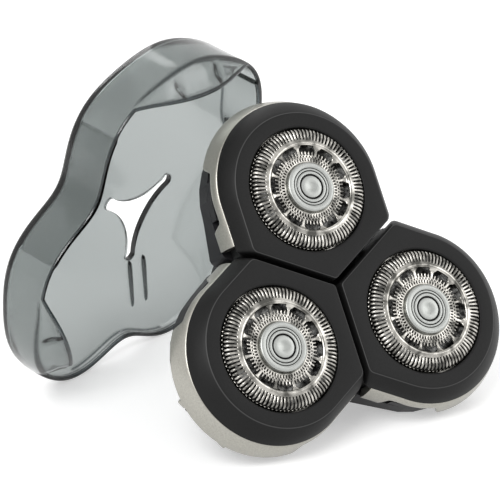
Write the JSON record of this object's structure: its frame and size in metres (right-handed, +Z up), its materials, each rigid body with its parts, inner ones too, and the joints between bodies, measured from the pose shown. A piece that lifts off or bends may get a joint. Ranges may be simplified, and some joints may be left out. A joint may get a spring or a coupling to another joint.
{
  "type": "rotary shaver head",
  "caption": "Rotary shaver head with tilting hinged lobes, slotted round guards over spinning cutters, a gear-driven base with a plug-in coupling, and a loose clear protective cap.",
  "frame": {"origin": "middle of the base of the whole object's box, on the floor", "axes": "+Z up, -Y the side that the shaving face looks to, +X to the viewer's right"},
  "size_m": [0.091, 0.0732, 0.0699],
  "materials": {
    "black_abs": "satin black",
    "dark_grey_abs": "fine matte texture",
    "champagne_lacquer": "champagne metallic lacquer",
    "stamped_steel": "bright stamped stainless steel",
    "satin_steel": "turned satin",
    "grey_acetal": "natural moulded",
    "smoked_cap": "clear smoked plastic"
  },
  "bodies": {
    "base": {"coupling_spigot": "dark_grey_abs", "gear_housing": "dark_grey_abs", "housing_cover": "dark_grey_abs", "screw_1": "satin_steel", "screw_2": "satin_steel", "screw_3": "satin_steel", "protective_cap": "smoked_cap"},
    "drive": {"drive_gear": "grey_acetal"},
    "gear_1": {"lobe_gear_1": "grey_acetal", "spring_1": "stamped_steel"},
    "spindle_1": {"spindle_1": "grey_acetal"},
    "lobe_1": {"chamber_1": "dark_grey_abs", "hinge_pin_1": "stamped_steel", "tilt_pin_1": "stamped_steel"},
    "cover_1": {"cover_1": "black_abs", "rim_1": "champagne_lacquer", "retainer_1": "grey_acetal"},
    "guard_1": {"guard_1": "stamped_steel", "guard_disc_1": "satin_steel"},
    "cutter_1": {"cutter_1": "stamped_steel"},
    "gear_2": {"lobe_gear_2": "grey_acetal", "spring_2": "stamped_steel"},
    "spindle_2": {"spindle_2": "grey_acetal"},
    "lobe_2": {"chamber_2": "dark_grey_abs", "hinge_pin_2": "stamped_steel", "tilt_pin_2": "stamped_steel"},
    "cover_2": {"cover_2": "black_abs", "rim_2": "champagne_lacquer", "retainer_2": "grey_acetal"},
    "guard_2": {"guard_2": "stamped_steel", "guard_disc_2": "satin_steel"},
    "cutter_2": {"cutter_2": "stamped_steel"},
    "gear_3": {"lobe_gear_3": "grey_acetal", "spring_3": "stamped_steel"},
    "spindle_3": {"spindle_3": "grey_acetal"},
    "lobe_3": {"chamber_3": "dark_grey_abs", "hinge_pin_3": "stamped_steel", "tilt_pin_3": "stamped_steel"},
    "cover_3": {"cover_3": "black_abs", "rim_3": "champagne_lacquer", "retainer_3": "grey_acetal"},
    "guard_3": {"guard_3": "stamped_steel", "guard_disc_3": "satin_steel"},
    "cutter_3": {"cutter_3": "stamped_steel"}
  },
  "joints": [
    {"name": "drive_spin", "type": "hinge", "parent": "base", "child": "drive", "pos_m": [0.00927, -0.00815, 0.01963], "axis": [0, -0.8151, 0.5793], "continuous": true},
    {"name": "gear_1_spin", "type": "hinge", "parent": "base", "child": "gear_1", "pos_m": [0.00927, 0.00285, 0.03512], "axis": [0, -0.8151, 0.5793], "continuous": true},
    {"name": "spindle_1_slide", "type": "slide", "parent": "gear_1", "child": "spindle_1", "axis": [0, 0.8151, -0.5793], "range_m": [0, 0.0012], "deforming": ["spring_1"]},
    {"name": "lobe_1_tilt", "type": "hinge", "parent": "base", "child": "lobe_1", "pos_m": [0.00927, -0.00546, 0.02999], "axis": [-1, 0, 0], "range_deg": [0, 4], "stiffness_Nm_per_rad": 0.3},
    {"name": "cover_1_open", "type": "hinge", "parent": "lobe_1", "child": "cover_1", "pos_m": [0.00927, 0.00714, 0.05306], "axis": [-1, 0, 0], "range_deg": [0, 50]},
    {"name": "guard_1_press", "type": "slide", "parent": "cover_1", "child": "guard_1", "axis": [0, 0.8151, -0.5793], "range_m": [0, 0.0012], "stiffness_N_per_m": 600},
    {"name": "cutter_1_spin", "type": "hinge", "parent": "guard_1", "child": "cutter_1", "pos_m": [0.00927, -0.011, 0.04497], "axis": [0, -0.8151, 0.5793], "continuous": true},
    {"name": "gear_2_spin", "type": "hinge", "parent": "base", "child": "gear_2", "pos_m": [-0.00719, -0.01366, 0.01189], "axis": [0, -0.8151, 0.5793], "continuous": true},
    {"name": "spindle_2_slide", "type": "slide", "parent": "gear_2", "child": "spindle_2", "axis": [0, 0.8151, -0.5793], "range_m": [0, 0.0012], "deforming": ["spring_2"]},
    {"name": "lobe_2_tilt", "type": "hinge", "parent": "base", "child": "lobe_2", "pos_m": [0.00061, -0.01415, 0.01776], "axis": [0.5, -0.5017, -0.7059], "range_deg": [0, 4], "stiffness_Nm_per_rad": 0.3},
    {"name": "cover_2_open", "type": "hinge", "parent": "lobe_2", "child": "cover_2", "pos_m": [-0.022, -0.02423, 0.00892], "axis": [0.5, -0.5017, -0.7059], "range_deg": [0, 50]},
    {"name": "guard_2_press", "type": "slide", "parent": "cover_2", "child": "guard_2", "axis": [0, 0.8151, -0.5793], "range_m": [0, 0.0012], "stiffness_N_per_m": 600},
    {"name": "cutter_2_spin", "type": "hinge", "parent": "guard_2", "child": "cutter_2", "pos_m": [-0.00719, -0.02751, 0.02174], "axis": [0, -0.8151, 0.5793], "continuous": true},
    {"name": "gear_3_spin", "type": "hinge", "parent": "base", "child": "gear_3", "pos_m": [0.02572, -0.01366, 0.01189], "axis": [0, -0.8151, 0.5793], "continuous": true},
    {"name": "spindle_3_slide", "type": "slide", "parent": "gear_3", "child": "spindle_3", "axis": [0, 0.8151, -0.5793], "range_m": [0, 0.0012], "deforming": ["spring_3"]},
    {"name": "lobe_3_tilt", "type": "hinge", "parent": "base", "child": "lobe_3", "pos_m": [0.01793, -0.01415, 0.01776], "axis": [0.5, 0.5017, 0.7059], "range_deg": [0, 4], "stiffness_Nm_per_rad": 0.3},
    {"name": "cover_3_open", "type": "hinge", "parent": "lobe_3", "child": "cover_3", "pos_m": [0.04053, -0.02423, 0.00892], "axis": [0.5, 0.5017, 0.7059], "range_deg": [0, 50]},
    {"name": "guard_3_press", "type": "slide", "parent": "cover_3", "child": "guard_3", "axis": [0, 0.8151, -0.5793], "range_m": [0, 0.0012], "stiffness_N_per_m": 600},
    {"name": "cutter_3_spin", "type": "hinge", "parent": "guard_3", "child": "cutter_3", "pos_m": [0.02572, -0.02751, 0.02174], "axis": [0, -0.8151, 0.5793], "continuous": true}
  ],
  "couplings": [
    {"joint": "gear_1_spin", "follows": "drive_spin", "ratio": -1.1111},
    {"joint": "cutter_1_spin", "follows": "drive_spin", "ratio": -1.1111},
    {"joint": "spindle_1_slide", "follows": "guard_1_press", "ratio": 1},
    {"joint": "gear_2_spin", "follows": "drive_spin", "ratio": -1.1111},
    {"joint": "cutter_2_spin", "follows": "drive_spin", "ratio": -1.1111},
    {"joint": "spindle_2_slide", "follows": "guard_2_press", "ratio": 1},
    {"joint": "gear_3_spin", "follows": "drive_spin", "ratio": -1.1111},
    {"joint": "cutter_3_spin", "follows": "drive_spin", "ratio": -1.1111},
    {"joint": "spindle_3_slide", "follows": "guard_3_press", "ratio": 1}
  ]
}
